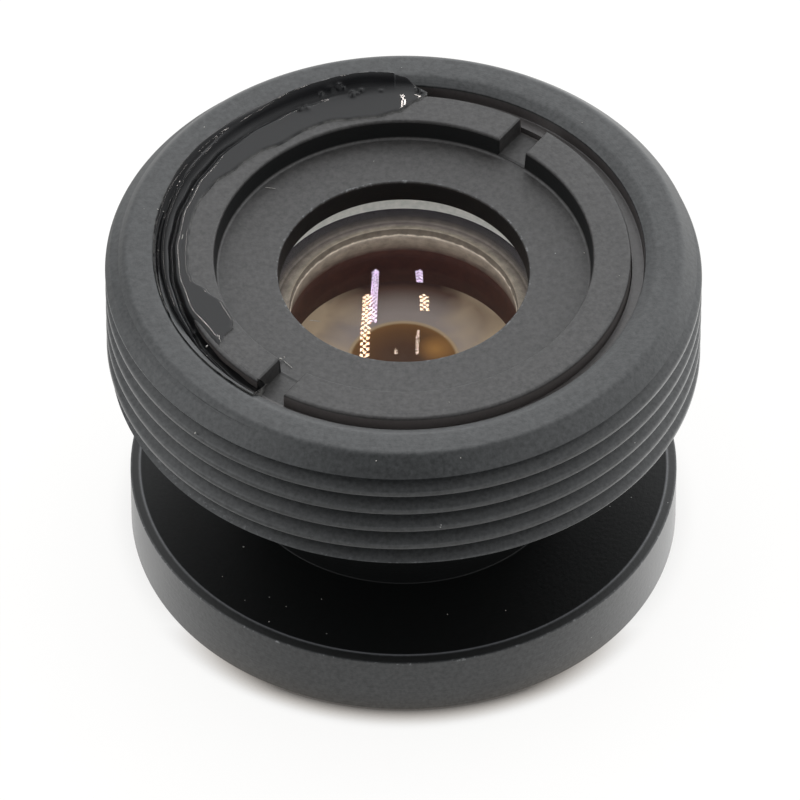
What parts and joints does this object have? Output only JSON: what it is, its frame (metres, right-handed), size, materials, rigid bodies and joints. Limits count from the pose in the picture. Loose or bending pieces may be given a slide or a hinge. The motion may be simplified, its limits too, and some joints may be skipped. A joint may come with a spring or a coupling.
{
  "type": "m12 board camera lens",
  "caption": "Small black board camera lens with an M12 thread at the rear, a slim neck, a front flange and a slotted retaining ring round its rear glass.",
  "frame": {"origin": "centre of the front flange's front face, on the optical axis; the lens stands on that face", "axes": "+Z along the optical axis towards the rear (sensor) end; +X to the right and +Y away from the viewer in the picture"},
  "size_m": [0.012, 0.012, 0.0076],
  "materials": {
    "barrel_black": "satin black anodised",
    "retaining_ring_black": "satin black anodised",
    "front_spacer_black": "satin black anodised",
    "stop_spacer_black": "satin black anodised",
    "middle_spacer_black": "satin black anodised",
    "rear_spacer_black": "satin black anodised",
    "front_element_glass": "polished, anti-reflection coated",
    "second_element_glass": "polished, anti-reflection coated",
    "third_element_glass": "polished, anti-reflection coated",
    "doublet_crown_glass": "polished, anti-reflection coated",
    "doublet_flint_glass": "polished, anti-reflection coated",
    "rear_element_glass": "polished, anti-reflection coated",
    "aperture_stop_foil": "matt black foil",
    "adhesive_black": "glossy black set adhesive"
  },
  "bodies": {
    "root": {"barrel": "barrel_black", "retaining_ring": "retaining_ring_black", "front_spacer": "front_spacer_black", "stop_spacer": "stop_spacer_black", "middle_spacer": "middle_spacer_black", "rear_spacer": "rear_spacer_black", "front_element": "front_element_glass", "second_element": "second_element_glass", "third_element": "third_element_glass", "doublet_crown": "doublet_crown_glass", "doublet_flint": "doublet_flint_glass", "rear_element": "rear_element_glass", "aperture_stop": "aperture_stop_foil", "adhesive_bead": "adhesive_black"}
  },
  "joints": []
}
